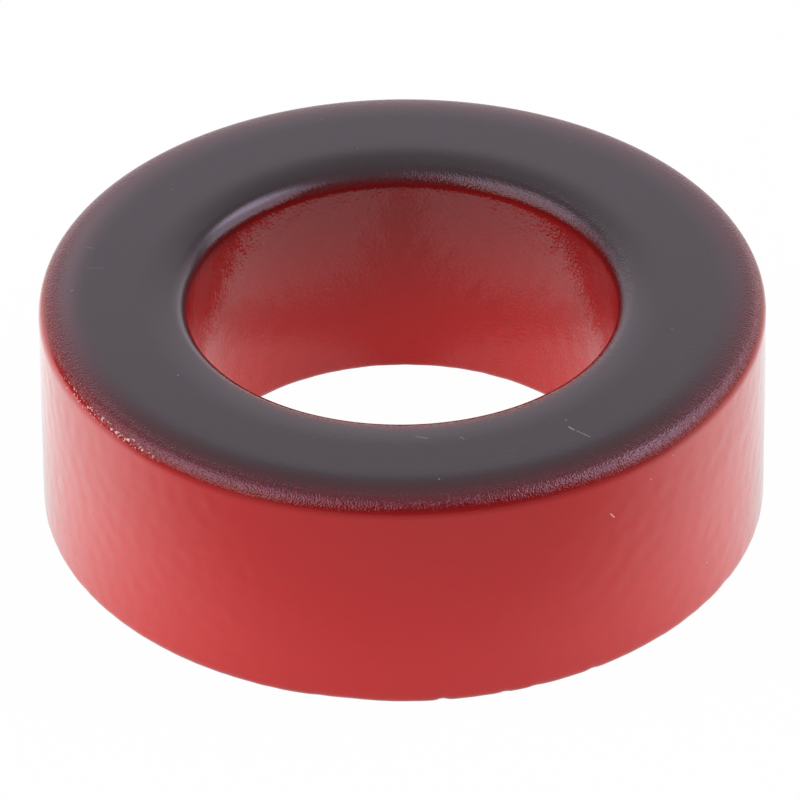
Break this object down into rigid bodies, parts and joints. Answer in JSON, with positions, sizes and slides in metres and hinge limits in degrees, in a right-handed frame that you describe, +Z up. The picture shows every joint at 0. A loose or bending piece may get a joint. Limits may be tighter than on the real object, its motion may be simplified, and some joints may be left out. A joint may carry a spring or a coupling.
{
  "type": "iron powder toroid core",
  "caption": "Ring of pressed iron powder with rounded edges, painted red except for its grey upper end, that wire is wound round to make an inductor or transformer.",
  "frame": {"origin": "centre of the lower flat end, on the axis of the bore", "axes": "+Z up along the axis of the bore, from the lower end to the grey upper end"},
  "size_m": [0.033, 0.033, 0.0111],
  "materials": {
    "red_paint": "satin red paint over pressed iron powder, with the upper end left grey under clear lacquer"
  },
  "bodies": {
    "root": {"toroid_core": "red_paint"}
  },
  "joints": []
}
